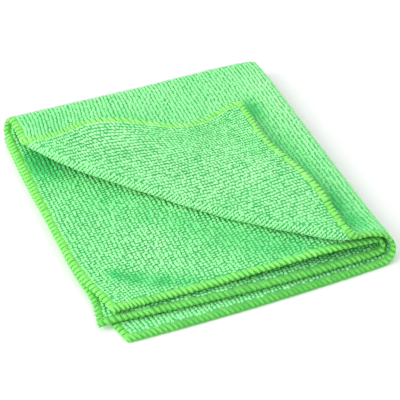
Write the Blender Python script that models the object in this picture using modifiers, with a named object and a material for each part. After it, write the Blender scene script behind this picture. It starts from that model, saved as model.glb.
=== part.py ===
"""Microfibre cleaning cloth, lying folded in quarters with the corner of its top layer turned back.

The cloth is one sheet. Every point of it has a flat place: `across` runs from one side hem to the
other, with the second fold at 0, and `along` runs from one front hem to the other, with the first
fold at 0. The folding below carries a flat place to where it lies.

Layers of the folded cloth, from the top:   top     across > 0, along < 0
                                            upper   across > 0, along > 0
                                            lower   across < 0, along > 0
                                            bottom  across < 0, along < 0
Sizes are in millimetres, and the mesh is made in metres. +X is right, +Y is back, +Z is up.
"""

import math
from collections import namedtuple

import bmesh
import bpy
import numpy as np

MM = 0.001

# Driving sizes
CLOTH_WIDTH = 300.0          # side hem to side hem, flat
CLOTH_LENGTH = 310.0         # front hem to front hem, flat
THICKNESS = 2.2              # over the pile of both faces
HEM_WIDTH = 5.0              # band that the edge stitching covers
UNEVEN_FOLD = 3.0            # the first fold lies this far from the middle of the length
SECOND_FOLD_X = 72.1         # where the sheet's middle is furthest right at the front
SECOND_FOLD_SPLAY = 1.2      # how much further right it is at the back
FIRST_FOLD_Y = 80.0          # where the sheet's middle is furthest back
QUARTER_WIDTH = 149.0        # floor that the folded cloth covers
QUARTER_DEPTH = 161.0
MIDDLE_X = -0.6              # middle of that floor, which is the part's origin
MIDDLE_Y = 0.1
CLEARANCE = 0.6              # least space between two layers

HALF_WIDTH = CLOTH_WIDTH / 2
OUTER_LENGTH = CLOTH_LENGTH / 2 + UNEVEN_FOLD     # top and bottom layers
INNER_LENGTH = CLOTH_LENGTH / 2 - UNEVEN_FOLD     # upper and lower layers
LAYER_PITCH = THICKNESS + CLEARANCE
SECOND_FOLD_RADIUS = LAYER_PITCH * 1.5            # as of four layers pressed flat

# Height of each layer's middle over the one below at the quarter's four corners,
# x of its free side hem at three places, and y of its front hem at three places.
Layer = namedtuple(
    "Layer",
    "back_left back_right front_left front_right"
    " side_back side_middle side_front hem_left hem_middle hem_right",
)
LAYERS = {
    "bottom": Layer(1.1, 1.1, 1.1, 1.1, -73.0, -73.0, -65.0, -76.8, -80.4, -80.6),
    "lower": Layer(4.6, 3.0, 3.0, 3.2, -73.6, -74.5, -74.0, -65.0, -73.5, -76.0),
    "upper": Layer(3.4, 3.0, 3.0, 3.8, -73.6, -75.3, -73.5, -63.0, -67.5, -74.5),
    "top": Layer(8.6, 3.7, 4.4, 4.2, -70.0, -71.5, -76.5, -70.0, -74.0, -77.0),
}
ORDER = ("bottom", "lower", "upper", "top")       # from the floor up

# Soft swells and hollows: they raise or lower their layer and what lies on it.
Swell = namedtuple("Swell", "layer x y reach_x reach_y height")
SWELLS = (
    Swell("upper", 45.0, -78.0, 42.0, 26.0, 3.4),      # open wedge at the front right
    Swell("upper", -30.0, -8.0, 26.0, 22.0, 0.9),      # full places in front of the turned corner
    Swell("upper", 2.0, -46.0, 20.0, 14.0, 0.8),
    Swell("upper", -34.0, -54.0, 26.0, 7.0, 0.7),
    Swell("upper", -58.0, -34.0, 9.0, 8.0, -0.5),      # crease across the front left
    Swell("upper", -45.0, -43.0, 10.0, 8.0, -0.8),
    Swell("upper", -31.0, -53.0, 10.0, 8.0, -0.8),
    Swell("upper", -17.0, -61.0, 10.0, 7.0, -0.5),
    Swell("upper", -33.0, 16.0, 13.0, 13.0, 1.3),      # ridge under the roll of the turned corner
    Swell("upper", -17.0, 0.0, 13.0, 13.0, 1.7),
    Swell("upper", 0.0, -17.0, 13.0, 13.0, 1.7),
    Swell("upper", 17.0, -34.0, 13.0, 13.0, 1.6),
    Swell("upper", 33.0, -50.0, 13.0, 13.0, 1.2),
    Swell("top", 54.0, -8.0, 8.0, 55.0, -0.9),         # hollow beside the turned corner
    Swell("top", 62.0, 64.0, 16.0, 16.0, 0.7),
    Swell("top", 5.0, 80.0, 36.0, 20.0, -0.9),         # sag of the back edge
    Swell("top", -19.0, 54.0, 15.0, 12.0, 1.0),        # full place near the turned corner's side hem
    Swell("top", 16.0, -3.0, 11.0, 9.0, 0.6),          # ridge across the turned corner
    Swell("top", 33.0, -9.0, 11.0, 9.0, 0.8),
    Swell("top", 50.0, -15.0, 9.0, 9.0, 0.6),
)

# The corner is turned back along a straight line of the top layer, which starts this far from
# the first fold on the side hem, and this far from the second fold on the front hem.
TURN_ON_SIDE_HEM = 22.5
TURN_ON_FRONT_HEM = 18.5

# The roll of the turned corner, from the side hem to the front hem: share of its length, how far
# it leans out, its radius, how far it stands off the layer below, and how far behind it the corner
# has settled.
Roll = namedtuple("Roll", "share lean radius lift settle")
ROLLS = (
    Roll(0.00, 0.0, 2.0, 0.2, 14.0),
    Roll(0.17, 6.5, 1.8, 1.7, 18.0),
    Roll(0.35, 7.9, 1.6, -0.6, 20.0),
    Roll(0.50, 6.6, 1.6, -1.7, 20.0),
    Roll(0.65, 5.6, 1.6, -1.6, 18.0),
    Roll(0.82, 4.1, 1.6, -1.0, 14.0),
    Roll(1.00, 0.0, 1.9, 0.0, 10.0),
)
LEAN_FADE_BELOW = 40.0       # the lean fades out over this much of the layer below
LEAN_FADE_TURNED = 26.0      # and over this much of the turned corner
TURNED_REACH = 0.88          # share of its flat reach that the turned corner's waves leave it
FOLD_HOLD = 20.0             # the folds hold the sheet this far from them
PRESSED_THICKNESS = 0.6      # share of its thickness that the pile keeps where the two folds cross
PRESSED_REACH = 12.0

# Soft pulls on the sheet, at a flat place: how far they reach, and how far they move it.
Pull = namedtuple("Pull", "across along reach right back up")
PULLS = (
    Pull(0.0, 0.0, 18.0, -0.8, -1.6, 0.0),             # rounded corner where the folds meet
    Pull(150.0, 152.0, 22.0, 6.5, 0.5, 0.0),           # upper layer's free corner, drawn in
    Pull(-150.0, 134.0, 14.0, 1.6, 0.0, 0.0),          # lower layer's free corner, left out
    Pull(-150.0, 152.0, 9.0, -1.4, -0.8, 0.0),
    Pull(-150.0, -142.0, 12.0, -1.6, 0.0, 0.0),        # bottom layer's side hem near its corner
    Pull(150.0, -76.0, 24.0, -8.7, 4.0, 2.4),          # waves along the turned corner's hems
    Pull(150.0, -122.0, 28.0, -1.4, -14.4, 0.3),
    Pull(18.5, -158.0, 10.0, 1.2, 3.8, 0.6),
    Pull(64.0, -158.0, 24.0, 2.6, -0.6, 3.5),
    Pull(116.0, -158.0, 18.0, -3.9, -3.8, 2.4),
    Pull(150.0, -158.0, 14.0, -1.6, -3.3, 1.8),
)

# Mesh: flat distances from a fold at which the sheet is divided, and the size of the rest
SECOND_FOLD_STEPS = (0.0, 0.9, 1.8, 2.7, 4.0, 5.6, 7.6, 10.2)
FIRST_FOLD_STEPS = (0.0, 0.8, 1.6, 2.5, 4.0, 6.0)
CELL = 9.0
ROLL_STEP = 1.3
ROLL_BAND = 14.3
SNAP = 0.5                   # a division this near a point runs through it


def through(stations, values, place):
    """The smooth curve of lowest degree, at most 4, that follows the values at the stations."""
    degree = min(len(stations) - 1, 4)
    return np.polyval(np.polyfit(stations, values, degree), place)


def turn(signed, radius):
    """Distance back from a fold's centre line, and the share of the way round the fold."""
    angle = np.clip(signed / radius + math.pi / 2, 0.0, math.pi)
    run = np.maximum(np.abs(signed) - radius * math.pi / 2, 0.0)
    return run - radius * np.sin(angle), (1.0 - np.cos(angle)) / 2


def shares(x, y):
    """Share of the way from left to right and from front to back over the quarter."""
    right = np.clip(x / QUARTER_WIDTH + 0.5, 0.0, 1.0)
    back = np.clip(y / QUARTER_DEPTH + 0.5, 0.0, 1.0)
    return right, back


def bump(distance, reach):
    return np.exp(-((distance / reach) ** 2))


def heights(x, y):
    """Height of the middle of each layer over a place on the floor."""
    right, back = shares(x, y)
    height = 0.0
    found = {}
    for name in ORDER:
        layer = LAYERS[name]
        rear = layer.back_left + (layer.back_right - layer.back_left) * right
        front = layer.front_left + (layer.front_right - layer.front_left) * right
        height = height + front + (rear - front) * back
        for swell in SWELLS:
            if swell.layer == name:
                height = height + swell.height * bump(x - swell.x, swell.reach_x) * bump(
                    y - swell.y, swell.reach_y
                )
        found[name] = height
    return found


def fold_in_quarters(across, along):
    """Where the flat places lie once the cloth is folded twice: x, y and z."""
    fold_y = FIRST_FOLD_Y - np.abs(along)
    over_second = heights(SECOND_FOLD_X, fold_y)
    over_first = heights(SECOND_FOLD_X - np.abs(across), FIRST_FOLD_Y)
    second_fold_x = SECOND_FOLD_X + SECOND_FOLD_SPLAY * shares(0.0, fold_y)[1]
    outer_radius = (over_second["top"] - over_second["bottom"]) / 2
    inner_radius = (over_second["upper"] - over_second["lower"]) / 2
    rear_upper_radius = (over_first["top"] - over_first["upper"]) / 2
    rear_lower_radius = (over_first["lower"] - over_first["bottom"]) / 2

    inner = turn(along, LAYER_PITCH)[1]
    raised = turn(across, SECOND_FOLD_RADIUS)[1]
    second_radius = outer_radius + (inner_radius - outer_radius) * inner
    first_radius = rear_lower_radius + (rear_upper_radius - rear_lower_radius) * raised
    left_run, raised = turn(across, second_radius)
    front_run, inner = turn(along, first_radius)
    parts = {
        "bottom": (1 - raised) * (1 - inner),
        "lower": (1 - raised) * inner,
        "upper": raised * inner,
        "top": raised * (1 - inner),
    }

    centre_x = second_fold_x - outer_radius
    centre_y = FIRST_FOLD_Y - np.maximum(rear_upper_radius, rear_lower_radius)
    right, back = shares(centre_x - left_run, centre_y - front_run)
    side = 0.0
    hem = 0.0
    for name, part in parts.items():
        layer = LAYERS[name]
        side_hem = (layer.side_back, layer.side_middle, layer.side_front)
        front_hem = (layer.hem_left, layer.hem_middle, layer.hem_right)
        side = side + part * through((1, 0.5, 0), side_hem, back)
        hem = hem + part * through((0, 0.5, 1), front_hem, right)
    length = np.where(along > 0, INNER_LENGTH, OUTER_LENGTH)
    full_left = HALF_WIDTH - second_radius * math.pi / 2
    full_front = length - first_radius * math.pi / 2
    x = centre_x - left_run * np.where(left_run > 0, (centre_x - side) / full_left, 1.0)
    y = centre_y - front_run * np.where(front_run > 0, (centre_y - hem) / full_front, 1.0)
    layer_heights = heights(x, y)
    z = sum(part * layer_heights[name] for name, part in parts.items())
    return x, y, z


def roll_line():
    """A point on the line where the corner starts to turn, and the flat directions along it and out."""
    start = np.array((HALF_WIDTH, -TURN_ON_SIDE_HEM))
    end = np.array((TURN_ON_FRONT_HEM, -OUTER_LENGTH))
    length = np.linalg.norm(end - start)
    ahead = (end - start) / length
    outward = np.array((-ahead[1], ahead[0]))
    return start, ahead, outward, length


def fold(across, along):
    """Where the flat places of the cloth lie, in millimetres, as an array of points."""
    across = np.asarray(across, dtype=float)
    along = np.asarray(along, dtype=float)
    x, y, z = fold_in_quarters(across, along)

    start, ahead, outward, length = roll_line()
    from_start = np.stack((across - start[0], along - start[1]), axis=-1)
    beyond = from_start @ outward
    share = np.clip(from_start @ ahead / length, 0.0, 1.0)
    stations = [row.share for row in ROLLS]
    lean = through(stations, [row.lean for row in ROLLS], share)
    radius = through(stations, [row.radius for row in ROLLS], share)
    lift = through(stations, [row.lift for row in ROLLS], share)
    settle = through(stations, [row.settle for row in ROLLS], share)

    on_top = (across > 0) & (along < 0)
    turned = on_top & (beyond > 0)
    beyond_line = np.where(turned, beyond, 0.0)
    angle = np.minimum(beyond_line / radius, math.pi)
    behind = np.maximum(beyond_line - radius * math.pi, 0.0)
    out_x, out_y = -outward[0], outward[1]            # the same way as seen over the floor
    line_x = x - beyond_line * out_x
    line_y = y - beyond_line * out_y
    reach = radius * np.sin(angle) - behind * TURNED_REACH
    held = np.clip(np.minimum(across, -along) / FOLD_HOLD, 0.0, 1.0)
    held = held * held * (3 - 2 * held)
    fade = np.where(turned, bump(behind, LEAN_FADE_TURNED), bump(beyond, LEAN_FADE_BELOW) * held)
    reach = np.where(turned, reach, 0.0) + np.where(on_top, lean * fade, 0.0)
    x = line_x + reach * out_x
    y = line_y + reach * out_y

    up = np.zeros_like(x)
    for pull in PULLS:
        strength = bump(np.hypot(across - pull.across, along - pull.along), pull.reach)
        x = x + pull.right * strength
        y = y + pull.back * strength
        up = up + pull.up * strength

    on_roll = heights(line_x, line_y)["top"] + lift + radius * (1 - np.cos(angle))
    settled = LAYER_PITCH + (lift + 2 * radius - LAYER_PITCH) * bump(behind, settle)
    on_layer = heights(x, y)["top"] + settled
    lifted = z + np.where(on_top, lift * bump(beyond, settle) * held, 0.0)
    z = np.where(turned, np.where(behind > 0, on_layer, on_roll), lifted) + up
    return np.stack((x - MIDDLE_X, y - MIDDLE_Y, z), axis=-1)


def divisions(fold_steps, length):
    """Flat distances from a fold out to a hem: close at the fold, even after it, with the hem's line."""
    last = fold_steps[-1]
    hem_line = length - HEM_WIDTH
    cells = round((hem_line - last) / CELL)
    even = [last + (hem_line - last) * (i + 1) / cells for i in range(cells)]
    return list(fold_steps) + even + [length]


def both_ways(negative, positive):
    return [-distance for distance in reversed(negative[1:])] + positive


def make_flat_sheet():
    """A grid in the plane, its points at the flat places where the cloth is divided, in millimetres."""
    side = divisions(SECOND_FOLD_STEPS, HALF_WIDTH)
    columns = both_ways(side, side)
    rows = both_ways(
        divisions(FIRST_FOLD_STEPS, OUTER_LENGTH), divisions(FIRST_FOLD_STEPS, INNER_LENGTH)
    )
    bpy.ops.mesh.primitive_grid_add(
        x_subdivisions=len(columns) - 1, y_subdivisions=len(rows) - 1, size=2.0
    )
    sheet = bpy.context.object
    for vertex in sheet.data.vertices:
        column = round((vertex.co.x + 1) / 2 * (len(columns) - 1))
        row = round((vertex.co.y + 1) / 2 * (len(rows) - 1))
        vertex.co = (columns[column], rows[row], 0.0)
    return sheet


def divide_at_roll(sheet):
    """Close divisions along the roll, so that it comes out round."""
    start, ahead, outward, _ = roll_line()
    work = bmesh.new()
    work.from_mesh(sheet.data)
    for step in range(round(ROLL_BAND / ROLL_STEP) + 1):
        beyond = step * ROLL_STEP
        point = start + outward * beyond
        faces = [
            face
            for face in work.faces
            if face.calc_center_median().x > 0 and face.calc_center_median().y < 0
        ]
        around = {edge for face in faces for edge in face.edges}
        corners = {vertex for face in faces for vertex in face.verts}
        bmesh.ops.bisect_plane(
            work,
            geom=faces + list(around) + list(corners),
            dist=SNAP,
            plane_co=(point[0], point[1], 0.0),
            plane_no=(outward[0], outward[1], 0.0),
        )
    work.to_mesh(sheet.data)
    work.free()


def lay_folded(sheet):
    """Carry every point of the flat sheet to its folded place, in metres, and give the flat places."""
    flat = np.array([vertex.co for vertex in sheet.data.vertices])
    lying = fold(flat[:, 0], flat[:, 1]) * MM
    for vertex, place in zip(sheet.data.vertices, lying):
        vertex.co = place
    return flat


def give_thickness(sheet, flat):
    """The sheet's thickness, less where the two folds cross and press the pile."""
    full = sheet.vertex_groups.new(name="full_thickness")
    for vertex, place in zip(sheet.data.vertices, flat):
        full.add([vertex.index], 1.0 - bump(np.hypot(place[0], place[1]), PRESSED_REACH), "REPLACE")
    shell = sheet.modifiers.new("thickness", "SOLIDIFY")
    shell.thickness = THICKNESS * MM
    shell.offset = 0.0
    shell.vertex_group = full.name
    shell.thickness_vertex_group = PRESSED_THICKNESS


def terry_material():
    material = bpy.data.materials.new("mint_terry")
    material.use_nodes = True
    shader = material.node_tree.nodes["Principled BSDF"]
    shader.inputs["Base Color"].default_value = (0.24, 0.74, 0.28, 1.0)
    shader.inputs["Roughness"].default_value = 0.9
    shader.inputs["Metallic"].default_value = 0.0
    return material


def main():
    for leftover in list(bpy.data.objects):
        bpy.data.objects.remove(leftover)
    collection = bpy.data.collections.new("microfibre_cloth")
    bpy.context.scene.collection.children.link(collection)

    cloth = make_flat_sheet()
    cloth.name = "cloth"
    for owner in list(cloth.users_collection):
        owner.objects.unlink(cloth)
    collection.objects.link(cloth)
    divide_at_roll(cloth)
    flat = lay_folded(cloth)
    give_thickness(cloth, flat)
    cloth.data.materials.append(terry_material())
    for face in cloth.data.polygons:
        face.use_smooth = True


main()
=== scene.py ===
import math
import time

import bpy
import numpy as np
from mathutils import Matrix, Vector
from mathutils.bvhtree import BVHTree


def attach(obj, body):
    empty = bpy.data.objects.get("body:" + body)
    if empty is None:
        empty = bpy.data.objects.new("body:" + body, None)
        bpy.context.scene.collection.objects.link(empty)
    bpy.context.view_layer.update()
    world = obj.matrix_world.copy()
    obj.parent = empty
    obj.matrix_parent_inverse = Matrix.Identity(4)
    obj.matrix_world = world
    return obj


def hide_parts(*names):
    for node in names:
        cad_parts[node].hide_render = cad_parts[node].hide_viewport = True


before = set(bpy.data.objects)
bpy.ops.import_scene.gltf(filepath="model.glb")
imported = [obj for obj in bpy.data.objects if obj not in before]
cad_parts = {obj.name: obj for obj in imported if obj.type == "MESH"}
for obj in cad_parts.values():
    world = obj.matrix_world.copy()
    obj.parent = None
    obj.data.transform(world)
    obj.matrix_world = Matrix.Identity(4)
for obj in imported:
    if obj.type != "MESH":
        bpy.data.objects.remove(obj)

started = time.time()
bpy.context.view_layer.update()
mm = 0.001
scene = bpy.context.scene
scene.view_settings.view_transform = "Standard"


def say(words):
    print("%5.1f s  %s" % (time.time() - started, words))


# The cloth is worked on flat, in mm, and then folded. across runs from side hem to side hem with
# the second fold at 0, along from front hem to front hem with the first fold at 0, and height is
# from the middle of the sheet: up is the face that the turned corner shows, down the other face.
cloth = {
    "width": 300.0,
    "length": 310.0,
    "thickness": 2.2,          # over the pile of both faces
    "unevenFold": 3.0,         # the first fold lies this far from the middle of the length
    "clearance": 0.6,          # between two layers
    "secondFoldX": 72.1,       # where the middle of the sheet is furthest right, at the front
    "secondFoldSplay": 1.2,    # how much further right at the back
    "firstFoldY": 80.0,
    "quarterWidth": 149.0,
    "quarterDepth": 161.0,
    "middle": (-0.6, 0.1),     # middle of the floor it covers
    "overFloor": 0.02,         # the floor presses the pile flat at this height
    "slopeStep": 0.25,         # a slope is taken between places this far on either side
}
halfWidth = cloth["width"] / 2
outerLength = cloth["length"] / 2 + cloth["unevenFold"]    # top and bottom layers
innerLength = cloth["length"] / 2 - cloth["unevenFold"]    # upper and lower layers
layerPitch = cloth["thickness"] + cloth["clearance"]

# Height over the layer below at back left, back right, front left and front right; x of the side
# hem at the back, middle and front; y of the front hem at the left, middle and right.
layers = {
    "bottom": {
        "rise": (1.1, 1.1, 1.1, 1.1),
        "side": (-73.0, -73.0, -65.0),
        "hem": (-76.8, -80.4, -80.6),
    },
    "lower": {
        "rise": (4.6, 3.0, 3.0, 3.2),
        "side": (-73.6, -74.5, -74.0),
        "hem": (-65.0, -73.5, -76.0),
    },
    "upper": {
        "rise": (3.4, 3.0, 3.0, 3.8),
        "side": (-73.6, -75.3, -73.5),
        "hem": (-63.0, -67.5, -74.5),
    },
    "top": {
        "rise": (8.6, 3.7, 4.4, 4.2),
        "side": (-70.0, -71.5, -76.5),
        "hem": (-70.0, -74.0, -77.0),
    },
}
# Soft swells and hollows: layer, x, y, reach in x, reach in y, height
swells = (
    ("upper", 45.0, -78.0, 42.0, 26.0, 3.4),
    ("upper", -30.0, -8.0, 26.0, 22.0, 0.9),
    ("upper", 2.0, -46.0, 20.0, 14.0, 0.8),
    ("upper", -34.0, -54.0, 26.0, 7.0, 0.7),
    ("upper", -58.0, -34.0, 9.0, 8.0, -0.5),
    ("upper", -45.0, -43.0, 10.0, 8.0, -0.8),
    ("upper", -31.0, -53.0, 10.0, 8.0, -0.8),
    ("upper", -17.0, -61.0, 10.0, 7.0, -0.5),
    ("upper", -33.0, 16.0, 13.0, 13.0, 1.3),
    ("upper", -17.0, 0.0, 13.0, 13.0, 1.7),
    ("upper", 0.0, -17.0, 13.0, 13.0, 1.7),
    ("upper", 17.0, -34.0, 13.0, 13.0, 1.6),
    ("upper", 33.0, -50.0, 13.0, 13.0, 1.2),
    ("top", 54.0, -8.0, 8.0, 55.0, -0.9),
    ("top", 62.0, 64.0, 16.0, 16.0, 0.7),
    ("top", 5.0, 80.0, 36.0, 20.0, -0.9),
    ("top", -19.0, 54.0, 15.0, 12.0, 1.0),
    ("top", 16.0, -3.0, 11.0, 9.0, 0.6),
    ("top", 33.0, -9.0, 11.0, 9.0, 0.8),
    ("top", 50.0, -15.0, 9.0, 9.0, 0.6),
)
# The corner is turned back along a line that starts on the side hem and ends on the front hem, this
# far from the folds. Along it: share, lean, radius, how far it stands off the layer below, and how
# far behind it the corner has settled.
turnedCorner = {
    "onSideHem": 22.5,
    "onFrontHem": 18.5,
    "roll": (
        (0.00, 0.0, 2.0, 0.2, 14.0),
        (0.17, 6.5, 1.8, 1.7, 18.0),
        (0.35, 7.9, 1.6, -0.6, 20.0),
        (0.50, 6.6, 1.6, -1.7, 20.0),
        (0.65, 5.6, 1.6, -1.6, 18.0),
        (0.82, 4.1, 1.6, -1.0, 14.0),
        (1.00, 0.0, 1.9, 0.0, 10.0),
    ),
    "leanFadeBelow": 40.0,
    "leanFadeTurned": 26.0,
    "reach": 0.88,             # share of its flat reach that its waves leave it
    "foldHold": 20.0,
}
# Soft pulls: across, along, how far they reach, and how far right, back and up they move the sheet
pulls = (
    (0.0, 0.0, 18.0, -0.8, -1.6, 0.0),
    (150.0, 152.0, 22.0, 6.5, 0.5, 0.0),
    (-150.0, 134.0, 14.0, 1.6, 0.0, 0.0),
    (-150.0, 152.0, 9.0, -1.4, -0.8, 0.0),
    (-150.0, -142.0, 12.0, -1.6, 0.0, 0.0),
    (150.0, -76.0, 24.0, -8.7, 4.0, 2.4),
    (150.0, -122.0, 28.0, -1.4, -14.4, 0.3),
    (18.5, -158.0, 10.0, 1.2, 3.8, 0.6),
    (64.0, -158.0, 24.0, 2.6, -0.6, 3.5),
    (116.0, -158.0, 18.0, -3.9, -3.8, 2.4),
    (150.0, -158.0, 14.0, -1.6, -3.3, 1.8),
)


def through(stations, values, place):
    # a smooth curve through a short column of values
    degree = min(len(stations) - 1, 4)
    return np.polyval(np.polyfit(stations, values, degree), place)


def bump(distance, reach):
    return np.exp(-((distance / reach) ** 2))


def turn(signed, radius):
    # how far back from a fold's centre line a place lies, and its share of the way round
    angle = np.clip(signed / radius + math.pi / 2, 0.0, math.pi)
    run = np.maximum(np.abs(signed) - radius * math.pi / 2, 0.0)
    return run - radius * np.sin(angle), (1.0 - np.cos(angle)) / 2


def shares(x, y):
    # share of the way from left to right and from front to back
    right = np.clip(x / cloth["quarterWidth"] + 0.5, 0.0, 1.0)
    back = np.clip(y / cloth["quarterDepth"] + 0.5, 0.0, 1.0)
    return right, back


def layerHeights(x, y):
    # height of the middle of each layer, one upon the other
    right, back = shares(x, y)
    height = 0.0
    found = {}
    for name in ("bottom", "lower", "upper", "top"):
        backLeft, backRight, frontLeft, frontRight = layers[name]["rise"]
        rear = backLeft + (backRight - backLeft) * right
        front = frontLeft + (frontRight - frontLeft) * right
        height = height + front + (rear - front) * back
        for layer, swellX, swellY, reachX, reachY, rise in swells:
            if layer == name:
                height = height + rise * bump(x - swellX, reachX) * bump(y - swellY, reachY)
        found[name] = height
    return found


def foldInQuarters(across, along):
    # where flat places lie before the corner is turned back
    foldY = cloth["firstFoldY"] - np.abs(along)
    overSecond = layerHeights(cloth["secondFoldX"], foldY)
    overFirst = layerHeights(cloth["secondFoldX"] - np.abs(across), cloth["firstFoldY"])
    secondFoldX = cloth["secondFoldX"] + cloth["secondFoldSplay"] * shares(0.0, foldY)[1]
    outerRadius = (overSecond["top"] - overSecond["bottom"]) / 2
    innerRadius = (overSecond["upper"] - overSecond["lower"]) / 2
    rearUpperRadius = (overFirst["top"] - overFirst["upper"]) / 2
    rearLowerRadius = (overFirst["lower"] - overFirst["bottom"]) / 2

    inner = turn(along, layerPitch)[1]
    raised = turn(across, layerPitch * 1.5)[1]
    secondRadius = outerRadius + (innerRadius - outerRadius) * inner
    firstRadius = rearLowerRadius + (rearUpperRadius - rearLowerRadius) * raised
    leftRun, raised = turn(across, secondRadius)
    frontRun, inner = turn(along, firstRadius)
    parts = {
        "bottom": (1 - raised) * (1 - inner),
        "lower": (1 - raised) * inner,
        "upper": raised * inner,
        "top": raised * (1 - inner),
    }
    centreX = secondFoldX - outerRadius
    centreY = cloth["firstFoldY"] - np.maximum(rearUpperRadius, rearLowerRadius)
    right, back = shares(centreX - leftRun, centreY - frontRun)
    side = 0.0
    hem = 0.0
    for name, part in parts.items():
        side = side + part * through((1, 0.5, 0), layers[name]["side"], back)
        hem = hem + part * through((0, 0.5, 1), layers[name]["hem"], right)
    length = np.where(along > 0, innerLength, outerLength)
    fullLeft = halfWidth - secondRadius * math.pi / 2
    fullFront = length - firstRadius * math.pi / 2
    x = centreX - leftRun * np.where(leftRun > 0, (centreX - side) / fullLeft, 1.0)
    y = centreY - frontRun * np.where(frontRun > 0, (centreY - hem) / fullFront, 1.0)
    found = layerHeights(x, y)
    z = sum(part * found[name] for name, part in parts.items())
    return x, y, z


def rollLine():
    # where the turned corner's roll starts, its way ahead and outwards, and its length
    start = np.array((halfWidth, -turnedCorner["onSideHem"]))
    end = np.array((turnedCorner["onFrontHem"], -outerLength))
    length = np.linalg.norm(end - start)
    ahead = (end - start) / length
    return start, ahead, np.array((-ahead[1], ahead[0])), length


def foldCloth(across, along):
    # where flat places lie, in mm
    x, y, z = foldInQuarters(across, along)
    start, ahead, outward, length = rollLine()
    fromStart = np.stack((across - start[0], along - start[1]), axis=-1)
    beyond = fromStart @ outward
    share = np.clip(fromStart @ ahead / length, 0.0, 1.0)
    stations, leans, radii, lifts, settles = zip(*turnedCorner["roll"])
    lean = through(stations, leans, share)
    radius = through(stations, radii, share)
    lift = through(stations, lifts, share)
    settle = through(stations, settles, share)

    onTop = (across > 0) & (along < 0)
    turned = onTop & (beyond > 0)
    beyondLine = np.where(turned, beyond, 0.0)
    angle = np.minimum(beyondLine / radius, math.pi)
    behind = np.maximum(beyondLine - radius * math.pi, 0.0)
    outX, outY = -outward[0], outward[1]
    lineX = x - beyondLine * outX
    lineY = y - beyondLine * outY
    reach = radius * np.sin(angle) - behind * turnedCorner["reach"]
    held = np.clip(np.minimum(across, -along) / turnedCorner["foldHold"], 0.0, 1.0)
    held = held * held * (3 - 2 * held)
    fadeTurned = bump(behind, turnedCorner["leanFadeTurned"])
    fade = np.where(turned, fadeTurned, bump(beyond, turnedCorner["leanFadeBelow"]) * held)
    reach = np.where(turned, reach, 0.0) + np.where(onTop, lean * fade, 0.0)
    x = lineX + reach * outX
    y = lineY + reach * outY
    up = np.zeros_like(x)
    for pullAcross, pullAlong, pullReach, pullRight, pullBack, pullUp in pulls:
        strength = bump(np.hypot(across - pullAcross, along - pullAlong), pullReach)
        x = x + pullRight * strength
        y = y + pullBack * strength
        up = up + pullUp * strength
    onRoll = layerHeights(lineX, lineY)["top"] + lift + radius * (1 - np.cos(angle))
    settled = layerPitch + (lift + 2 * radius - layerPitch) * bump(behind, settle)
    onLayer = layerHeights(x, y)["top"] + settled
    lifted = z + np.where(onTop, lift * bump(beyond, settle) * held, 0.0)
    z = np.where(turned, np.where(behind > 0, onLayer, onRoll), lifted) + up
    return np.stack((x - cloth["middle"][0], y - cloth["middle"][1], z), axis=-1)


def lieFolded(flat):
    # carries points of a flat piece (across, along, height) to their folded places
    across, along, height = flat.T
    step = cloth["slopeStep"]
    acrossWay = foldCloth(across + step, along) - foldCloth(across - step, along)
    alongWay = foldCloth(across, along + step) - foldCloth(across, along - step)
    up = np.cross(acrossWay, alongWay)
    up /= np.linalg.norm(up, axis=1, keepdims=True)
    folded = foldCloth(across, along) + up * height[:, None]
    folded[:, 2] = np.maximum(folded[:, 2], cloth["overFloor"])
    return folded, up


def toCutEdge(across, along):
    # how far flat places lie from the nearest cut edge
    toEnd = np.minimum(innerLength - along, outerLength + along)
    return np.minimum(halfWidth - np.abs(across), toEnd)


def pointsOf(piece):
    flat = np.empty(len(piece.data.vertices) * 3)
    piece.data.vertices.foreach_get("co", flat)
    return flat.reshape(-1, 3)


def foldPiece(piece):
    # a flat piece gets its map from its flat places, and is then folded
    flat = pointsOf(piece)
    corners = np.empty(len(piece.data.loops), int)
    piece.data.loops.foreach_get("vertex_index", corners)
    for old in list(piece.data.uv_layers):
        piece.data.uv_layers.remove(old)
    flatMap = piece.data.uv_layers.new(name="flat")
    place = flat[corners, :2] / cloth["length"] + 0.5
    flatMap.data.foreach_set("uv", place.ravel())
    folded = lieFolded(flat)[0]
    piece.data.vertices.foreach_set("co", (folded * mm).ravel())
    piece.data.update()


def smooth(piece):
    piece.data.polygons.foreach_set("use_smooth", [True] * len(piece.data.polygons))


def trianglesOf(piece):
    return sum(len(face.vertices) - 2 for face in piece.data.polygons)


def deselectAll():
    bpy.ops.object.select_all(action="DESELECT")


def workOn(piece):
    deselectAll()
    piece.select_set(True)
    bpy.context.view_layer.objects.active = piece


colours = {
    "tip": (0.345, 0.94, 0.385, 1.0),
    # root is darker than the tips: painted shade in the pits between the loops
    "root": (0.07, 0.60, 0.17, 1.0),
    "lighterRoot": (0.20, 0.84, 0.30, 1.0),          # roots with less painted shade: at random, and under the painted highlights
    # paler is a painted highlight; deeper is painted shade and also a random cloudy tone; deepest
    # is painted shade in the darkest hollows
    "paler": (0.56, 0.97, 0.55, 1.0),
    "deeper": (0.09, 0.70, 0.20, 1.0),
    "deepest": (0.03, 0.42, 0.11, 1.0),
    # ground and groundRib are darker than the pile: painted shade between the loops
    "ground": (0.05, 0.46, 0.12, 1.0),
    "groundRib": (0.08, 0.50, 0.15, 1.0),
    "thread": (0.27, 0.86, 0.17, 1.0),
    "threadPale": (0.42, 0.93, 0.30, 1.0),
    "stray": (0.55, 0.97, 0.56, 1.0),
    # threadDeep is painted shade, on the front hems and in the gaps between stitches; threadPale a
    # painted highlight
    "threadDeep": (0.08, 0.50, 0.07, 1.0),
}
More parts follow.
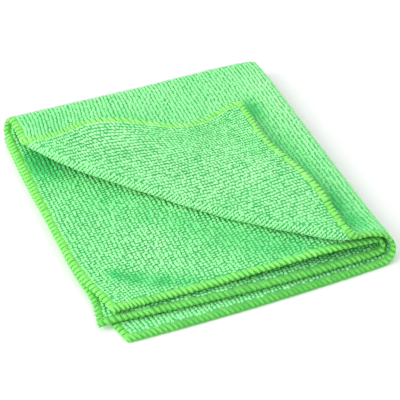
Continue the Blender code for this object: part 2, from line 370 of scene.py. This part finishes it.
finishes = {
    "mintPile": {
        "Roughness": 0.9,
        "Sheen Weight": 0.4,
        "Sheen Roughness": 0.35,
        "Sheen Tint": (0.8, 1.0, 0.8, 1.0),
        "Specular IOR Level": 0.15,
    },
    "limeThread": {
        "Roughness": 0.7,
        "Sheen Weight": 0.3,
        "Sheen Roughness": 0.4,
        "Specular IOR Level": 0.35,
    },
    "strayFibre": {"Roughness": 0.6, "Sheen Weight": 0.4},
    "knittedGround": {"Roughness": 0.9},
    "paleFloor": {"Base Color": (0.93, 0.93, 0.93, 1.0), "Roughness": 0.9},
}
relief = {
    "pileGrain": 5200.0,       # the single fibres of the pile
    "threadGrain": 4200.0,
    "grainStrength": 0.5,
    "grainDepth": 0.00012,     # m
    "knitRadian": 1.21,        # mm of the flat cloth for each radian of the knit's wave
    "knitDistortion": 1.2,
    "knitStrength": 0.6,
    "knitDepth": 0.0002,
}


def newMaterial(name):
    material = bpy.data.materials.new(name)
    material.use_nodes = True
    nodes = material.node_tree.nodes
    shader = nodes["Principled BSDF"]
    for socket, value in finishes[name].items():
        shader.inputs[socket].default_value = value
    return material, nodes, material.node_tree.links, shader


def readAttribute(nodes, name):
    read = nodes.new("ShaderNodeAttribute")
    read.attribute_name = name
    return read.outputs["Fac"]


def mixColours(nodes, links, factor, low, high):
    mix = nodes.new("ShaderNodeMix")
    mix.data_type = "RGBA"
    links.new(factor, mix.inputs["Factor"])
    for name, value in (("A", low), ("B", high)):
        target = [s for s in mix.inputs if s.name == name and s.type == "RGBA"][0]
        if hasattr(value, "is_output"):
            links.new(value, target)
        else:
            target.default_value = value
    return [s for s in mix.outputs if s.type == "RGBA"][0]


def ramp(nodes, links, value, low, high, lowTo=0.0, highTo=1.0):
    spread = nodes.new("ShaderNodeMapRange")
    ends = {"From Min": low, "From Max": high, "To Min": lowTo, "To Max": highTo}
    for socket, number in ends.items():
        spread.inputs[socket].default_value = number
    links.new(value, spread.inputs["Value"])
    return spread.outputs["Result"]


def noise(nodes, links, vector, scale, detail=2.0):
    texture = nodes.new("ShaderNodeTexNoise")
    texture.inputs["Scale"].default_value = scale
    texture.inputs["Detail"].default_value = detail
    links.new(vector, texture.inputs["Vector"])
    return texture.outputs["Fac"]


def addBump(nodes, links, shader, value, strength, depth):
    raised = nodes.new("ShaderNodeBump")
    raised.inputs["Strength"].default_value = strength
    raised.inputs["Distance"].default_value = depth
    links.new(value, raised.inputs["Height"])
    links.new(raised.outputs["Normal"], shader.inputs["Normal"])


def addGrain(nodes, links, shader, where, scale):
    fibres = noise(nodes, links, where, scale, 1.0)
    addBump(nodes, links, shader, fibres, relief["grainStrength"], relief["grainDepth"])


def strayMaterial():
    material, nodes, links, shader = newMaterial("strayFibre")
    where = nodes.new("ShaderNodeTexCoord").outputs["Object"]
    streaky = ramp(nodes, links, noise(nodes, links, where, 900.0), 0.4, 0.7)
    finished = mixColours(nodes, links, streaky, colours["tip"], colours["stray"])
    links.new(finished, shader.inputs["Base Color"])
    return material


def pileMaterial():
    # pale tips over darker roots, the roots painted shade between the loops; both take painted
    # shade and painted highlights from the patches
    material, nodes, links, shader = newMaterial("mintPile")
    where = nodes.new("ShaderNodeTexCoord").outputs["Object"]
    shade = readAttribute(nodes, "shade")
    paleShare = ramp(nodes, links, shade, 0.0, 1.0)
    paler = mixColours(nodes, links, paleShare, colours["tip"], colours["paler"])
    deepShare = ramp(nodes, links, shade, 0.0, -1.0)
    deeper = mixColours(nodes, links, deepShare, paler, colours["deeper"])
    deepestShare = ramp(nodes, links, shade, -1.0, -2.0)
    deepest = mixColours(nodes, links, deepestShare, deeper, colours["deepest"])
    cloudy = ramp(nodes, links, noise(nodes, links, where, 45.0), 0.35, 0.7, 0.0, 0.18)
    clouded = mixColours(nodes, links, cloudy, deepest, colours["deeper"])
    lighterRootShare = ramp(nodes, links, noise(nodes, links, where, 75.0, 3.0), 0.4, 0.62, 0.0, 0.75)
    lowRoot = mixColours(nodes, links, lighterRootShare, colours["root"], colours["lighterRoot"])
    root = mixColours(nodes, links, paleShare, lowRoot, colours["lighterRoot"])
    # loops darker towards their roots: painted shade between the loops
    high = ramp(nodes, links, readAttribute(nodes, "tip"), 0.5, 0.75)
    links.new(mixColours(nodes, links, high, root, clouded), shader.inputs["Base Color"])
    addGrain(nodes, links, shader, where, relief["pileGrain"])
    return material


def groundMaterial():
    # the knit between the loops of pile, darker than the pile as painted shade between the loops,
    # and beneath the stitches threadDeep as painted shade in the gaps between them
    material, nodes, links, shader = newMaterial("knittedGround")
    flat = nodes.new("ShaderNodeUVMap")
    flat.uv_map = "flat"
    hem = readAttribute(nodes, "hem")
    wave = nodes.new("ShaderNodeTexWave")
    wave.inputs["Scale"].default_value = cloth["length"] / relief["knitRadian"] / 20
    wave.inputs["Distortion"].default_value = relief["knitDistortion"]
    links.new(flat.outputs["UV"], wave.inputs["Vector"])
    ribs = wave.outputs["Fac"]
    knitted = mixColours(nodes, links, ribs, colours["ground"], colours["groundRib"])
    finished = mixColours(nodes, links, hem, knitted, colours["threadDeep"])
    links.new(finished, shader.inputs["Base Color"])
    addBump(nodes, links, shader, ribs, relief["knitStrength"], relief["knitDepth"])
    return material


def threadMaterial():
    material, nodes, links, shader = newMaterial("limeThread")
    where = nodes.new("ShaderNodeTexCoord").outputs["Object"]
    # painted shade and painted highlights on the hems from the patches, with a little random tone
    shade = readAttribute(nodes, "shade")
    paleShare = ramp(nodes, links, shade, 0.0, 0.5)
    paler = mixColours(nodes, links, paleShare, colours["thread"], colours["threadPale"])
    deepShare = ramp(nodes, links, shade, 0.0, -1.0)
    deeper = mixColours(nodes, links, deepShare, paler, colours["threadDeep"])
    links.new(deeper, shader.inputs["Base Color"])
    addGrain(nodes, links, shader, where, relief["threadGrain"])
    return material


pileFinish = pileMaterial()
groundFinish = groundMaterial()
threadFinish = threadMaterial()
strayFinish = strayMaterial()
say("materials made")

sheetSizes = {
    "cell": 2.4,               # mm, between divisions away from the folds
    "foldStep": 0.6,
    "foldSteps": 16,           # fine divisions on each side of a fold
    "groundThickness": 1.1,
    "hemThickness": 0.9,
    "hemWidth": 4.6,
    "pressed": 0.6,            # share of its thickness left where the two folds cross
    "pressedReach": 12.0,
}


def divisions(length):
    # from a fold to the cut edge, finer beside the fold
    fine = [sheetSizes["foldStep"] * i for i in range(sheetSizes["foldSteps"] + 1)]
    rest = length - fine[-1]
    cells = round(rest / sheetSizes["cell"])
    return fine + [fine[-1] + rest * (i + 1) / cells for i in range(cells)]


def makeGroundSheet():
    side = divisions(halfWidth)
    columns = np.array([-d for d in side[:0:-1]] + side)
    rows = np.array([-d for d in divisions(outerLength)[:0:-1]] + divisions(innerLength))
    deselectAll()
    cells = {"x_subdivisions": len(columns) - 1, "y_subdivisions": len(rows) - 1}
    bpy.ops.mesh.primitive_grid_add(size=2.0, **cells)
    sheet = bpy.context.object
    sheet.name = sheet.data.name = "clothGround"
    flat = pointsOf(sheet)
    flat[:, 0] = columns[np.rint((flat[:, 0] + 1) / 2 * (len(columns) - 1)).astype(int)]
    flat[:, 1] = rows[np.rint((flat[:, 1] + 1) / 2 * (len(rows) - 1)).astype(int)]
    sheet.data.vertices.foreach_set("co", flat.ravel())
    inHem = np.clip(sheetSizes["hemWidth"] - toCutEdge(flat[:, 0], flat[:, 1]), 0.0, 1.0)
    hem = sheet.data.attributes.new("hem", "FLOAT", "POINT")
    hem.data.foreach_set("value", inHem)
    thin = 1 - inHem * (1 - sheetSizes["hemThickness"] / sheetSizes["groundThickness"])
    crossing = bump(np.hypot(flat[:, 0], flat[:, 1]), sheetSizes["pressedReach"])
    share = thin * (1 - (1 - sheetSizes["pressed"]) * crossing)
    foldPiece(sheet)
    thickness = sheet.vertex_groups.new(name="thickness")
    for index, part in enumerate(share):
        thickness.add([index], float(part), "REPLACE")
    workOn(sheet)
    shell = sheet.modifiers.new("thickness", "SOLIDIFY")
    shell.thickness = sheetSizes["groundThickness"] * mm
    shell.offset = 0.0
    shell.vertex_group = thickness.name
    bpy.ops.object.modifier_apply(modifier=shell.name)
    sheet.data.materials.clear()
    sheet.data.materials.append(groundFinish)
    smooth(sheet)
    return sheet


ground = makeGroundSheet()
say("ground sheet: %d faces" % len(ground.data.polygons))

tuft = {
    "ribPitch": 2.08,          # mm, across the ribs
    "loopPitch": 1.69,         # along a rib
    "length": 2.05,
    "width": 2.5,
    "height": 0.85,
    "middle": 0.7,             # height of its middle over the middle of the sheet
    "lean": 0.26,              # radians
    "slant": 0.35,
    "twist": 0.2,
    "wander": 0.15,            # mm, each loop on its own
    "sway": 0.3,               # mm, the ribs together
    "unlike": 0.1,             # how far sizes stray
    "fromEdge": 4.5,           # middle of the first loops, from the cut edge
    "onRoll": 0.68,            # size and pitch on the roll, where the pile fans out
    "rollWidth": 5.2,          # of the flat cloth that lies round the roll
    "pastEnd": 2.0,            # how far ribs run on before the loops in the hem are left out
    "slack": 0.4,              # a loop may lie this much nearer the cut edge
    "segments": 6,
    "rings": (4, 3),           # of a loop, and of a plainer one for the underside
    "taper": 0.25,             # how much narrower one end is
    "droop": 0.35,             # how far its ends bend down
}
# A loop is made only where a straight way leads out from it past the cloth
sight = {
    "from": 1.3,               # height over the middle of the sheet
    "bearings": 12,            # ways tried all round, at each rise, and one straight up
    "rises": (0.2, 0.75),
    "reach": 0.3,              # m
}
# Painted shade and painted highlights where shadows, creases and lit places fall: face, across,
# along, reach across, reach along, how much paler (+) or deeper (-)
paintedLightPatches = (
    # painted highlight over the turned corner
    ("shown", 105.0, -110.0, 50.0, 50.0, 0.4),       # the turned corner
    ("shown", 138.0, -78.0, 12.0, 22.0, 0.4),
    ("shown", 88.0, -132.0, 7.0, 24.0, 0.35),
    ("shown", 65.0, -141.0, 10.0, 10.0, 0.35),
    ("shown", 138.0, -140.0, 4.0, 10.0, -0.35),
    # painted shadow in the hollow beneath the roll, then all along in front of it
    ("shown", 141.0, 36.0, 10.0, 11.0, -1.7),        # beneath its roll, at the side hem
    ("shown", 134.0, 48.0, 7.0, 7.0, -0.6),
    ("shown", 128.0, 60.0, 10.0, 10.0, -0.4),        # and all along in front of the roll
    ("shown", 115.0, 77.0, 10.0, 10.0, -0.45),
    ("shown", 101.0, 93.0, 10.0, 10.0, -0.45),
    ("shown", 87.0, 109.0, 10.0, 10.0, -0.5),
    ("shown", 73.0, 123.0, 11.0, 11.0, -0.55),
    ("shown", 58.0, 136.0, 12.0, 12.0, -0.6),
    ("shown", 44.0, 148.0, 12.0, 12.0, -0.65),
    # painted shade in a crease
    ("shown", 133.0, 129.0, 5.0, 4.5, -1.2),         # a crease at the front left
    ("shown", 125.0, 135.0, 6.0, 4.5, -1.3),
    ("shown", 114.0, 141.0, 7.0, 4.5, -1.2),
    ("shown", 102.0, 146.0, 8.0, 4.0, -0.8),
    ("shown", 108.0, 118.0, 14.0, 14.0, 0.35),
    # painted shadow beside the turned corner's hem
    ("outer", 24.0, -42.0, 5.0, 9.0, -1.1),          # top layer, beside the turned corner
    ("outer", 24.0, -64.0, 4.0, 14.0, -0.45),
    ("outer", 20.0, -92.0, 6.0, 20.0, -0.7),
    ("outer", 17.0, -122.0, 6.0, 13.0, -0.95),
    ("outer", 16.0, -142.0, 6.0, 10.0, -0.9),
    ("outer", 7.0, -70.0, 6.0, 40.0, 0.3),
    ("outer", 10.0, -24.0, 14.0, 16.0, 0.25),
    ("outer", 135.0, -12.0, 22.0, 8.0, -0.3),
    ("outer", 85.0, -26.0, 26.0, 8.0, -0.25),
    # painted shade on the front hems
    ("hem", -75.0, -158.0, 90.0, 6.0, -0.75),        # front hems of the bottom and lower layers
    ("hem", -75.0, 152.0, 90.0, 6.0, -0.6),
    ("hem", 110.0, 152.0, 40.0, 6.0, -0.2),
    ("hem", -150.0, 140.0, 6.0, 20.0, -0.4),
    ("hem", 150.0, -110.0, 6.0, 60.0, 0.2),          # the turned corner's own hems
    ("hem", 90.0, -158.0, 70.0, 6.0, 0.15),
)
# Along this line (across, along) the loops stand up into the crevice beneath the roll
beneathRoll = {
    "line": (
        (136.0, 38.0),
        (120.0, 58.0),
        (94.0, 89.0),
        (78.0, 105.0),
        (46.0, 135.0),
        (24.0, 150.0),
    ),
    "reach": 2.6,
    "taller": 0.9,
}
stray = {
    "count": 4000,
    "length": 1.5,             # mm
    "thickness": 0.11,
    "root": 0.95,              # height over the middle of the sheet
    "scatter": 0.5,            # from the loop that it stands off
    "tilt": 0.45,              # radians
    "sizes": (0.6, 1.15),
}
stitch = {
    "pitch": 2.7,
    "needleLine": 3.9,         # mm from the cut edge
    "unlike": 0.07,            # how far stitches stray in size
    "twist": 0.06,             # and in direction
    "strands": ((-0.66, 0.0), (0.0, 0.24), (0.66, 0.06)),    # of the bulky thread: along, and up
    "strandWidth": 0.78,
    "strandThickness": 0.66,
    "slope": 2.0,              # how far along the hem a wrap goes on its way round
    "needleThread": 0.45,
    "height": 0.62,            # of its middle over the middle of the sheet
    "unevenEnds": 0.3,         # how far in or out the strands end on the pile
    "endTurn": 2.1,
}


def copyOnto(name, model, spots, material):
    # one copy of the model at each spot: place, turn, size and shade
    points = bpy.data.meshes.new(name)
    points.vertices.add(len(spots["place"]))
    points.vertices.foreach_set("co", spots["place"].ravel())
    for attribute, kind in (("turn", "FLOAT_VECTOR"), ("size", "FLOAT_VECTOR"), ("shade", "FLOAT")):
        data = points.attributes.new(attribute, kind, "POINT").data
        data.foreach_set("vector" if kind == "FLOAT_VECTOR" else "value", spots[attribute].ravel())
    piece = bpy.data.objects.new(name, points)
    scene.collection.objects.link(piece)

    tree = bpy.data.node_groups.new(name, "GeometryNodeTree")
    tree.interface.new_socket("Geometry", in_out="INPUT", socket_type="NodeSocketGeometry")
    tree.interface.new_socket("Geometry", in_out="OUTPUT", socket_type="NodeSocketGeometry")
    nodes, links = tree.nodes, tree.links
    given = nodes.new("NodeGroupInput")
    result = nodes.new("NodeGroupOutput")
    onPoints = nodes.new("GeometryNodeInstanceOnPoints")
    info = nodes.new("GeometryNodeObjectInfo")
    info.inputs["Object"].default_value = model
    realize = nodes.new("GeometryNodeRealizeInstances")
    toRotation = nodes.new("FunctionNodeEulerToRotation")
    for attribute, target in (("turn", toRotation.inputs[0]), ("size", onPoints.inputs["Scale"])):
        read = nodes.new("GeometryNodeInputNamedAttribute")
        read.data_type = "FLOAT_VECTOR"
        read.inputs["Name"].default_value = attribute
        links.new(read.outputs["Attribute"], target)
    links.new(toRotation.outputs[0], onPoints.inputs["Rotation"])
    links.new(given.outputs[0], onPoints.inputs["Points"])
    links.new(info.outputs["Geometry"], onPoints.inputs["Instance"])
    links.new(onPoints.outputs["Instances"], realize.inputs["Geometry"])
    links.new(realize.outputs["Geometry"], result.inputs[0])
    copies = piece.modifiers.new("copies", "NODES")
    copies.node_group = tree
    workOn(piece)
    bpy.ops.object.modifier_apply(modifier=copies.name)
    piece.data.materials.clear()
    piece.data.materials.append(material)
    smooth(piece)
    return piece


def makeTuft(rings):
    # a plump loop of pile lying along its rib, in mm
    deselectAll()
    ball = {"segments": tuft["segments"], "ring_count": rings, "radius": 0.5}
    bpy.ops.mesh.primitive_uv_sphere_add(rotation=(math.pi / 2, 0, 0), **ball)
    model = bpy.context.object
    bpy.ops.object.transform_apply(location=False, rotation=True, scale=False)
    points = pointsOf(model)
    tip = np.clip(points[:, 2] + 0.5, 0.0, 1.0)
    points[:, 0] *= tuft["width"] * (1 - tuft["taper"] * (points[:, 1] + 0.5))
    ends = (2 * points[:, 1]) ** 2
    points[:, 2] = points[:, 2] * tuft["height"] - 0.5 * tuft["height"] * ends * tuft["droop"]
    points[:, 1] *= tuft["length"]
    # Blender gives the sphere's faces in a new order each time, so they are sorted
    faces = sorted(tuple(face.vertices) for face in model.data.polygons)
    model.data.clear_geometry()
    model.data.from_pydata(points.tolist(), [], faces)
    model.data.attributes.new("tip", "FLOAT", "POINT").data.foreach_set("value", tip)
    return model


def threadAlong(name, points, radius, steps, sides=1):
    # a thread through given points, in mm
    curve = bpy.data.curves.new(name, "CURVE")
    curve.dimensions = "3D"
    spline = curve.splines.new("BEZIER")
    spline.bezier_points.add(len(points) - 1)
    for knot, place in zip(spline.bezier_points, points):
        knot.co = place
        knot.handle_left_type = knot.handle_right_type = "AUTO"
    curve.resolution_u = steps
    curve.bevel_depth = radius
    curve.bevel_resolution = sides
    curve.use_fill_caps = True
    thread = bpy.data.objects.new(name, curve)
    scene.collection.objects.link(thread)
    workOn(thread)
    bpy.ops.object.convert(target="MESH")
    workOn(thread)
    bpy.ops.object.mode_set(mode="EDIT")
    bpy.ops.mesh.select_all(action="SELECT")
    bpy.ops.mesh.remove_doubles(threshold=0.0001)
    bpy.ops.mesh.normals_make_consistent(inside=False)
    bpy.ops.object.mode_set(mode="OBJECT")
    return thread


def makeStitch():
    # one overlock stitch at the origin: x along the hem, y from the edge inwards, z up, in mm
    line, high = stitch["needleLine"], stitch["height"]
    squeeze = stitch["strandThickness"] / stitch["strandWidth"]
    # share of the slope, y, z, and how far the strands spread: they bunch where they round the edge
    wrap = (
        (0.0, line, high * 0.7, 1.25),
        (0.18, line * 0.5, high, 1.1),
        (0.4, 0.5, high * 0.95, 0.6),
        (0.5, -0.3, 0.0, 0.4),
        (0.6, 0.5, -high * 0.95, 0.6),
        (0.82, line * 0.5, -high, 1.1),
        (1.0, line, -high * 0.7, 1.25),
    )
    threads = []
    for number, (offset, rise) in enumerate(stitch["strands"]):
        inner = stitch["unevenEnds"] * math.cos(stitch["endTurn"] * number)
        path = []
        for share, y, z, spread in wrap:
            x = (share * stitch["slope"] + offset * spread) * squeeze
            path.append((x, y + inner * (y == line), z * (1 + rise)))
        threads.append(threadAlong("strand", path, stitch["strandThickness"] / 2, 1))
        bpy.ops.transform.resize(value=(1 / squeeze, 1.0, 1.0), center_override=(0, 0, 0))
        bpy.ops.object.transform_apply(location=True, rotation=True, scale=True)
    needle = (
        (-1.1, line + 0.1, high * 0.5),
        (0.0, line, high * 1.3),
        (1.1, line + 0.1, high * 0.5),
    )
    below = [(x + stitch["slope"], y, -z) for x, y, z in needle]
    threads.append(threadAlong("needleOver", needle, stitch["needleThread"] / 2, 1))
    threads.append(threadAlong("needleUnder", below, stitch["needleThread"] / 2, 1))
    deselectAll()
    for thread in threads:
        thread.select_set(True)
    bpy.context.view_layer.objects.active = threads[0]
    bpy.ops.object.join()
    return bpy.context.object


def tuftSpots(chance):
    # every place of a loop on one face of the flat cloth, in ribs that run along, finer on the roll
    inside = tuft["fromEdge"]
    start, ahead, outward, length = rollLine()
    found = []
    for size in (1.0, tuft["onRoll"]):
        count = round(2 * (halfWidth - inside) / (tuft["ribPitch"] * size)) + 1
        ribs = np.linspace(-halfWidth + inside, halfWidth - inside, count)
        first = -outerLength + inside - tuft["pastEnd"]
        last = innerLength - inside + tuft["pastEnd"]
        loops = np.arange(first, last, tuft["loopPitch"] * size)
        across, along = np.meshgrid(ribs, loops, indexing="ij")
        shift = chance.uniform(-0.5, 0.5, (len(ribs), 1)) * tuft["loopPitch"] * size
        sway = np.sin(along / 3.7 + across / 9.1) + np.sin(along / 8.3 - across / 6.7)
        wander = tuft["wander"] * size
        across = across + tuft["sway"] * sway / 2 + chance.normal(0, wander, across.shape)
        along = along + shift + chance.normal(0, wander, along.shape)
        beyond = (across - start[0]) * outward[0] + (along - start[1]) * outward[1]
        onRoll = (across > 0) & (along < 0) & (beyond > 0) & (beyond < tuft["rollWidth"])
        take = onRoll if size < 1 else ~onRoll
        take = take & (toCutEdge(across, along) > inside - tuft["slack"])
        found.append(np.stack((across[take], along[take], np.full(take.sum(), size)), axis=1))
    return np.concatenate(found).T


def paintedLightShade(face, across, along, chance):
    # how much paler or deeper each loop or stitch is: a little random tone, plus the painted shade
    # and painted highlights of the patches
    shade = chance.normal(0, 0.08, len(across))
    for where, patchAcross, patchAlong, reachAcross, reachAlong, change in paintedLightPatches:
        if where == face:
            strength = bump(across - patchAcross, reachAcross)
            shade = shade + change * (strength * bump(along - patchAlong, reachAlong))
    return shade


def inTheOpen(places, ups, tree):
    # places from which a straight way leads out past the cloth
    ways = [(0.0, 1.0)]
    for i in range(sight["bearings"]):
        for rise in sight["rises"]:
            ways.append((2 * math.pi * i / sight["bearings"], rise))
    found = np.zeros(len(places), bool)
    for index, (place, up) in enumerate(zip(places, ups)):
        up = Vector(up)
        side = up.orthogonal().normalized()
        other = up.cross(side)
        begin = Vector(place) * mm
        for bearing, rise in ways:
            flatWay = side * math.cos(bearing) + other * math.sin(bearing)
            way = flatWay * math.sqrt(1 - rise * rise) + up * rise
            if tree.ray_cast(begin, way, sight["reach"])[0] is None:
                found[index] = True
                break
    return found


def fromLine(across, along, line):
    # how far flat places lie from a line of straight runs
    nearest = np.full(len(across), np.inf)
    place = np.stack((across, along), axis=1)
    for begin, end in zip(line, line[1:]):
        begin, run = np.array(begin), np.subtract(end, begin)
        share = np.clip((place - begin) @ run / (run @ run), 0.0, 1.0)
        away = place - begin - share[:, None] * run
        nearest = np.minimum(nearest, np.linalg.norm(away, axis=1))
    return nearest


def makePile(models, tree):
    chance = np.random.default_rng(5)
    across, along, scale = tuftSpots(chance)
    pieces = []
    strayPlaces = []
    for face, direction in (("shown", 1.0), ("outer", -1.0)):
        count = len(across)
        flat = np.stack((across, along, np.full(count, direction * sight["from"])), axis=1)
        folded, up = lieFolded(flat)
        shown = inTheOpen(folded, up * direction, tree)
        turns = np.stack((
            tuft["lean"] * chance.normal(1.0, 0.5, count),
            chance.normal(0, 0.15, count) + (0.0 if direction > 0 else math.pi),
            chance.normal(tuft["slant"], tuft["twist"], count),
        ), axis=1)
        sizes = chance.normal(1.0, tuft["unlike"], (count, 3)).clip(0.7, 1.3)
        sizes[:, :2] *= scale[:, None]
        place = np.stack((across, along, np.full(count, direction * tuft["middle"])), axis=1)
        if face == "shown":
            beneath = bump(fromLine(across, along, beneathRoll["line"]), beneathRoll["reach"])
            taller = 1 + beneathRoll["taller"] * beneath
            sizes[:, 2] *= taller
            place[:, 2] += (taller - 1) * tuft["height"] / 2
        shade = paintedLightShade(face, across, along, chance)
        turnedOver = (across > 0) & (along < 0)
        underside = (across < 0) & (along < 0)
        groups = (
            {"Corner": turnedOver, "Quarter": ~turnedOver}
            if direction > 0
            else {"Underside": underside, "Outside": ~underside}
        )
        for group, belongs in groups.items():
            take = shown & belongs
            if group != "Underside":
                faces = np.full(count, direction)
                strayPlaces.append(np.stack((across, along, faces), axis=1)[take])
            spots = {
                "place": place[take],
                "turn": turns[take],
                "size": sizes[take],
                "shade": shade[take],
            }
            piece = copyOnto("pile" + group, models[group == "Underside"], spots, pileFinish)
            foldPiece(piece)
            say("%s: %d loops, %d triangles" % (piece.name, take.sum(), trianglesOf(piece)))
            pieces.append(piece)
    return pieces, np.concatenate(strayPlaces)


def makeStrays(places):
    # fine ends of fibre that stand off the pile
    chance = np.random.default_rng(23)
    long = stray["length"]
    path = ((0.0, 0.0, 0.0), (0.1 * long, 0.0, 0.55 * long), (0.45 * long, 0.0, 0.9 * long))
    model = threadAlong("stray", path, stray["thickness"] / 2, 1, 0)
    picked = places[chance.choice(len(places), stray["count"], replace=False)]
    count = len(picked)
    direction = picked[:, 2]
    place = np.stack((
        picked[:, 0] + chance.normal(0, stray["scatter"], count),
        picked[:, 1] + chance.normal(0, stray["scatter"], count),
        direction * stray["root"],
    ), axis=1)
    turns = np.stack((
        chance.normal(0, stray["tilt"], count),
        chance.normal(0, stray["tilt"], count) + np.where(direction > 0, 0.0, math.pi),
        chance.uniform(-math.pi, math.pi, count),
    ), axis=1)
    sizes = chance.uniform(*stray["sizes"], (count, 1)) * np.ones((1, 3))
    spots = {"place": place, "turn": turns, "size": sizes, "shade": np.zeros(count)}
    piece = copyOnto("strayFibres", model, spots, strayFinish)
    foldPiece(piece)
    bpy.data.objects.remove(model)
    say("stray fibres: %d, %d triangles" % (count, trianglesOf(piece)))
    return piece


def makeHem(model):
    # overlock stitches along all four cut edges
    chance = np.random.default_rng(11)
    places = []
    turns = []
    for length, turnBy, corner in (
        (cloth["width"], 0.0, (-halfWidth, -outerLength)),
        (cloth["length"], math.pi / 2, (halfWidth, -outerLength)),
        (cloth["width"], math.pi, (halfWidth, innerLength)),
        (cloth["length"], -math.pi / 2, (-halfWidth, innerLength)),
    ):
        count = int(length / stitch["pitch"])
        start = (length - count * stitch["pitch"]) / 2
        for i in range(count):
            run = start + i * stitch["pitch"]
            across = corner[0] + run * math.cos(turnBy)
            along = corner[1] + run * math.sin(turnBy)
            places.append((across, along, 0.0))
            turns.append((0.0, 0.0, turnBy))
    count = len(places)
    places = np.array(places)
    turns = np.array(turns)
    turns[:, 2] += chance.normal(0, stitch["twist"], count)
    spots = {
        "place": places,
        "turn": turns,
        "size": chance.normal(1.0, stitch["unlike"], (count, 3)).clip(0.85, 1.2),
        "shade": paintedLightShade("hem", places[:, 0], places[:, 1], chance),
    }
    hem = copyOnto("overlockedHem", model, spots, threadFinish)
    foldPiece(hem)
    say("overlocked hem: %d stitches, %d triangles" % (count, trianglesOf(hem)))
    return hem


tuftModels = tuple(makeTuft(rings) for rings in tuft["rings"])
stitchModel = makeStitch()
tree = BVHTree.FromObject(ground, bpy.context.evaluated_depsgraph_get())
pile, strayPlaces = makePile(tuftModels, tree)
pile.append(makeStrays(strayPlaces))
hem = makeHem(stitchModel)
for model in tuftModels + (stitchModel,):
    bpy.data.objects.remove(model)

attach(ground, "root")
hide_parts("cloth")
for piece in pile + [hem]:
    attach(piece, "root")

studio = {
    "floorSize": 4.0,          # m
    "surround": 0.74,          # strength of the white light from all round
    "lamps": {
        "keyLight": {"place": (-0.78, 0.05, 0.5), "size": 0.8, "power": 6.6},
        "topLight": {"place": (0.0, -0.1, 1.1), "size": 1.0, "power": 3.0},
    },
}
bpy.ops.mesh.primitive_plane_add(size=studio["floorSize"], location=(0, 0, 0))
floor = bpy.context.object
floor.name = "floor"
floor.data.materials.append(newMaterial("paleFloor")[0])

world = bpy.data.worlds.new("studio")
scene.world = world
world.use_nodes = True
background = world.node_tree.nodes["Background"]
background.inputs["Color"].default_value = (1.0, 1.0, 1.0, 1.0)
background.inputs["Strength"].default_value = studio["surround"]
for name, lamp in studio["lamps"].items():
    light = bpy.data.lights.new(name, "AREA")
    light.size = lamp["size"]
    light.energy = lamp["power"]
    holder = bpy.data.objects.new(name, light)
    holder.location = lamp["place"]
    holder.rotation_euler = (-Vector(lamp["place"])).to_track_quat("-Z", "Y").to_euler()
    scene.collection.objects.link(holder)

view = {
    "azimuth": -23.7,
    "elevation": 43.0,
    "distance": 0.7343,        # m
    "lens": 130.5,             # mm
    "sensor": 36.0,
    "target": (0.00395, -0.00204, 0.0),
}
azimuth = math.radians(view["azimuth"])
elevation = math.radians(view["elevation"])
back = Vector((
    math.sin(azimuth) * math.cos(elevation),
    -math.cos(azimuth) * math.cos(elevation),
    math.sin(elevation),
))
camera = bpy.data.objects.new("camera", bpy.data.cameras.new("camera"))
camera.data.lens = view["lens"]
camera.data.sensor_width = view["sensor"]
camera.location = Vector(view["target"]) + back * view["distance"]
camera.rotation_euler = (-back).to_track_quat("-Z", "Y").to_euler()
scene.collection.objects.link(camera)
scene.camera = camera
say("floor, light and camera set")
